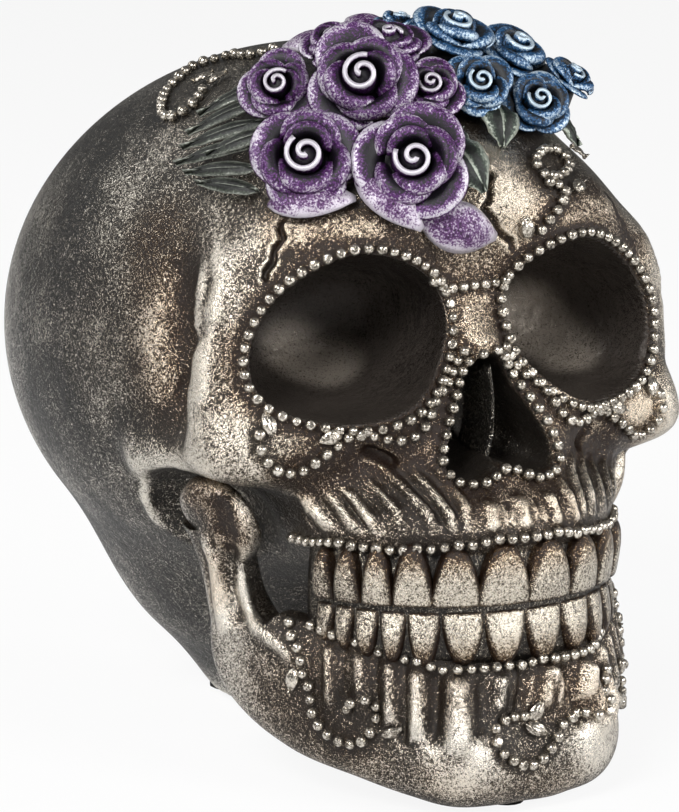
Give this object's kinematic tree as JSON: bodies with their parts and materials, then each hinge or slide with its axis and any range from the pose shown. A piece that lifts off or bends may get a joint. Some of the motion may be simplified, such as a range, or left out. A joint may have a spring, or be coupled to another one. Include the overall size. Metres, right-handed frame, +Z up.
{
  "type": "skull figurine",
  "caption": "Free-standing painted resin skull with a full jaw, two rows of teeth, bead strings round the eyes, nose and gums, and a cluster of roses and leaves on the brow.",
  "frame": {"origin": "on the surface the figurine stands on, under the middle of the skull, on the underside of the middle felt pad", "axes": "+Z up, -Y the way the face looks, +X towards the skull's own left"},
  "size_m": [0.127, 0.1799, 0.1559],
  "materials": {
    "antique_pewter": "cast resin, dark pewter paint dry-brushed with silver and gold-brown",
    "champagne_silver": "cast resin, champagne-silver paint with dark grooves",
    "bright_silver": "cast resin, bright silver paint",
    "purple_enamel": "cast resin, purple paint with brushed silver edges",
    "blue_enamel": "cast resin, blue paint with brushed silver edges",
    "green_enamel": "cast resin, dark green paint with brushed silver veins",
    "black_felt": "stick-on felt"
  },
  "bodies": {
    "root": {"blue_rose_1": "blue_enamel", "blue_rose_2": "blue_enamel", "blue_rose_3": "blue_enamel", "blue_rose_4": "blue_enamel", "blue_rose_5": "blue_enamel", "blue_rose_6": "blue_enamel", "brow_beads": "bright_silver", "cheek_beads_left": "bright_silver", "cheek_beads_right": "bright_silver", "chin_beads": "bright_silver", "chin_pad": "black_felt", "cranium": "antique_pewter", "crown_beads": "bright_silver", "eye_beads_left": "bright_silver", "eye_beads_right": "bright_silver", "felt_pad_1": "black_felt", "felt_pad_2": "black_felt", "felt_pad_3": "black_felt", "jaw_beads_left": "bright_silver", "jaw_beads_right": "bright_silver", "leaf_1": "green_enamel", "leaf_2": "green_enamel", "leaf_3": "green_enamel", "leaf_4": "green_enamel", "leaf_5": "green_enamel", "lower_gum_beads": "bright_silver", "lower_teeth": "champagne_silver", "mandible": "antique_pewter", "nose_beads": "bright_silver", "petal_1": "purple_enamel", "petal_2": "purple_enamel", "purple_rose_1": "purple_enamel", "purple_rose_2": "purple_enamel", "purple_rose_3": "purple_enamel", "purple_rose_4": "purple_enamel", "purple_rose_5": "purple_enamel", "purple_rose_6": "purple_enamel", "purple_rose_7": "purple_enamel", "upper_gum_beads": "bright_silver", "upper_teeth": "champagne_silver"}
  },
  "joints": []
}
